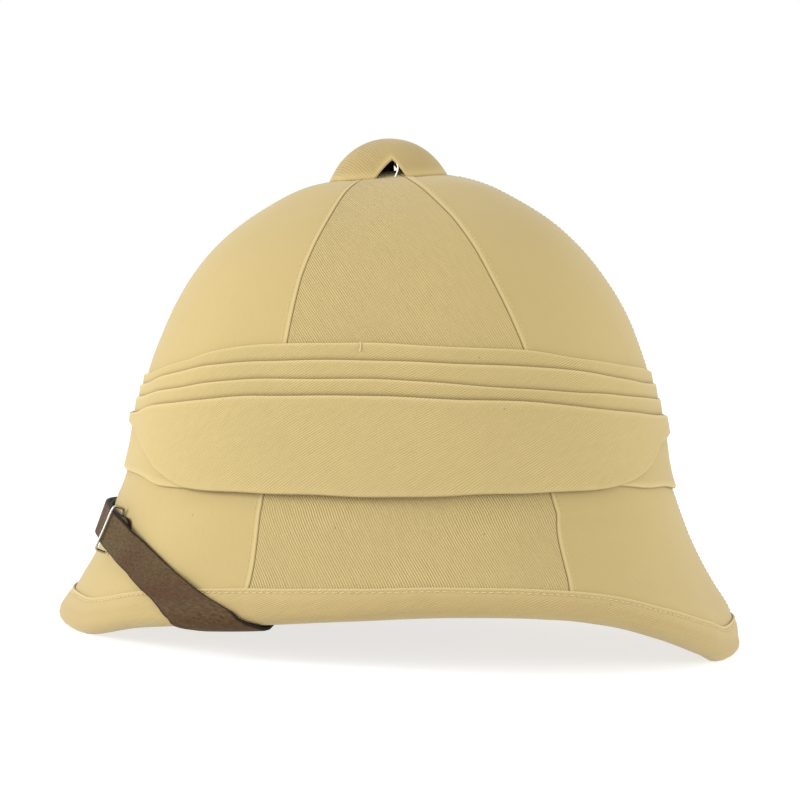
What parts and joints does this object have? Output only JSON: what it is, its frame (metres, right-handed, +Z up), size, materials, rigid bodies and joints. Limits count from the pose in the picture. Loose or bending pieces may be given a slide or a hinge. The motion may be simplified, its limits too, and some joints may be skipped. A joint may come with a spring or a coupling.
{
  "type": "pith helmet",
  "caption": "Cloth-covered pith sun helmet with a bound brim, a wound puggaree, a covered ventilator and a leather chin strap over the front.",
  "frame": {"origin": "the middle of the brim, on the surface that the helmet stands on", "axes": "+Z up, -Y out of the front of the helmet, +X out of the wearer's left side"},
  "size_m": [0.2576, 0.3195, 0.2324],
  "materials": {
    "khaki_shell": "cotton twill",
    "khaki_binding": "turned cotton twill strip",
    "khaki_puggaree": "pleated cotton cloth",
    "khaki_ventilator": "cotton twill over a thin dome",
    "dark_metal": "dark, worn",
    "brown_leather": "old, grained",
    "pale_wire": "nickelled, dull"
  },
  "bodies": {
    "root": {"shell": "khaki_shell", "brim_binding": "khaki_binding", "puggaree_pleats": "khaki_puggaree", "puggaree_wrap": "khaki_puggaree", "ventilator_cap": "khaki_ventilator", "ventilator_post": "dark_metal", "chin_strap_left": "brown_leather", "chin_strap_right": "brown_leather", "strap_slide_left": "pale_wire", "strap_slide_right": "pale_wire", "strap_stud_left": "pale_wire", "strap_stud_right": "pale_wire"}
  },
  "joints": []
}
